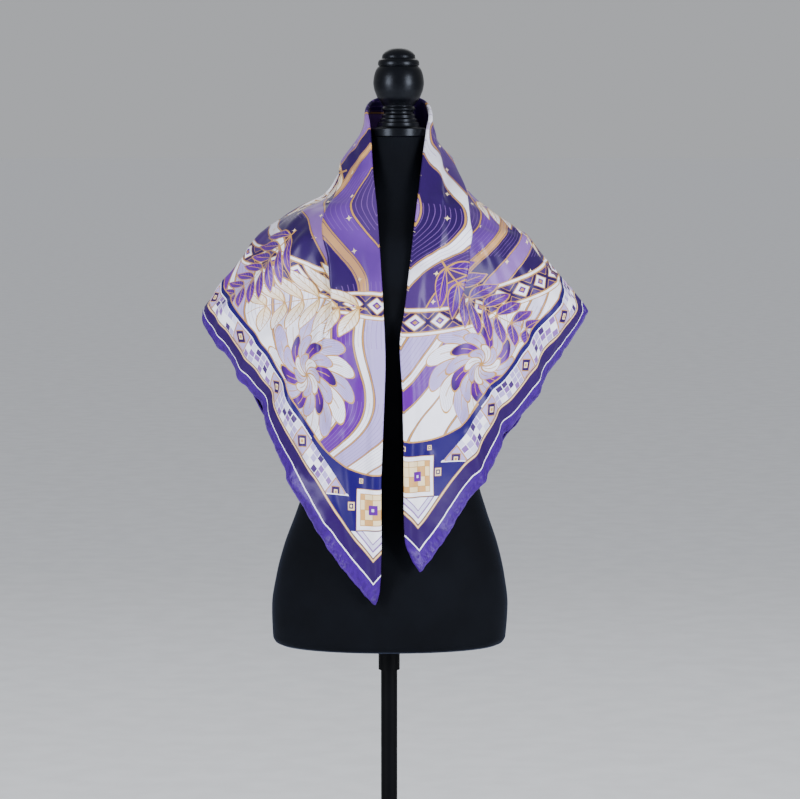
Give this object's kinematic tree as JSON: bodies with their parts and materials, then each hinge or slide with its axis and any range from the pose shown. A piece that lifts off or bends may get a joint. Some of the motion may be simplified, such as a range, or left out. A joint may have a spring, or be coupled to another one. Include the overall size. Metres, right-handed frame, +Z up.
{
  "type": "silk square scarf draped on a limbless dress form",
  "caption": "Square silk scarf folded into a doubled triangle and hung open round the neck and shoulders of a limbless dress form on a pole stand with a turned neck cap",
  "frame": {"origin": "on the floor at the centre of the base, under the pole", "axes": "+Z up along the stand, the open front of the scarf faces -Y, +X to the right as seen from the front"},
  "size_m": [0.4941, 0.33, 1.1817],
  "materials": {
    "silk_twill": "satin",
    "silk_hem": "satin",
    "black_velvet": "matte",
    "black_lacquer": "satin lacquer",
    "black_metal": "satin"
  },
  "bodies": {
    "root": {"scarf_left_end": "silk_twill", "scarf_back": "silk_twill", "scarf_right_end": "silk_twill", "outer_hem_left": "silk_hem", "outer_hem_right": "silk_hem", "under_hem_left": "silk_hem", "under_hem_right": "silk_hem", "bust": "black_velvet", "neck_cap": "black_lacquer", "pole_sleeve": "black_metal", "pole": "black_metal", "base": "black_metal"}
  },
  "joints": []
}
